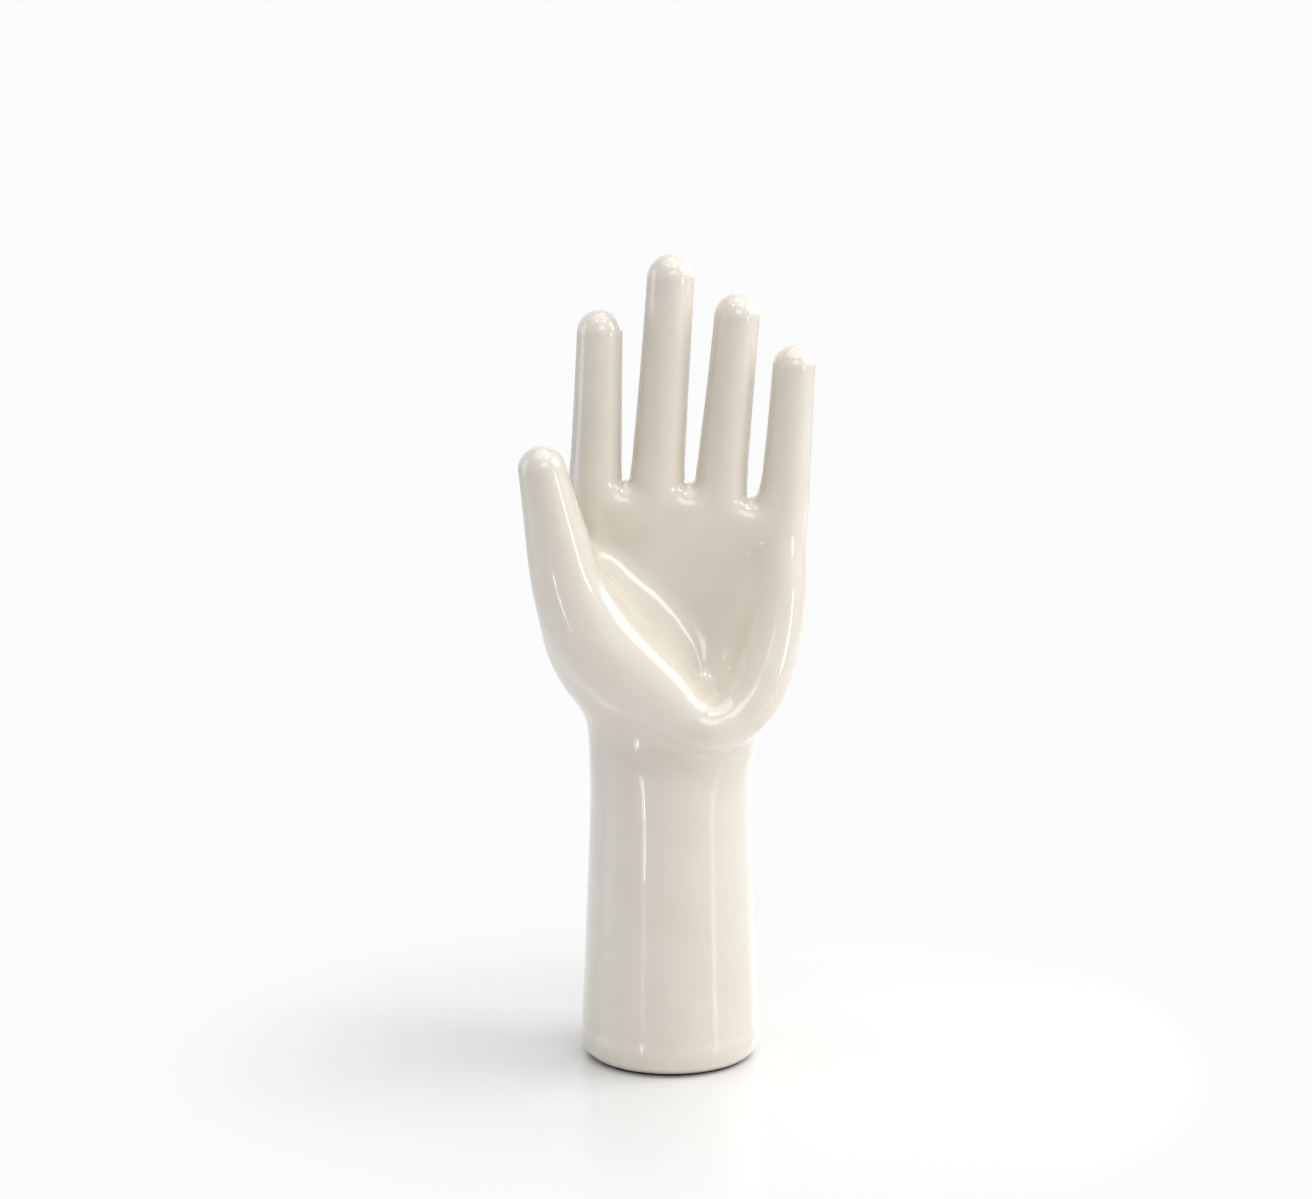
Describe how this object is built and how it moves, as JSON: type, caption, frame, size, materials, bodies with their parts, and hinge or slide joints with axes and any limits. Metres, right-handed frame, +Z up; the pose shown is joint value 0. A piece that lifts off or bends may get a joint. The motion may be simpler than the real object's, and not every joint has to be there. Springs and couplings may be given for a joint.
{
  "type": "ceramic hand sculpture",
  "caption": "Free-standing glazed ceramic left hand on its own round forearm, with straight fingers, a cupped palm and a free thumb, for display or as a ring holder.",
  "frame": {"origin": "centre of the round foot, on the face that it rests on", "axes": "+Z up along the forearm, -Y the way the palm faces, -X the thumb's side"},
  "size_m": [0.1202, 0.0852, 0.3398],
  "materials": {
    "glaze": "glossy",
    "bisque": "matte",
    "felt": "matte"
  },
  "bodies": {
    "root": {"hand_casting": "glaze", "thumb_casting": "glaze", "foot_plate": "bisque", "felt_pad": "felt"}
  },
  "joints": []
}
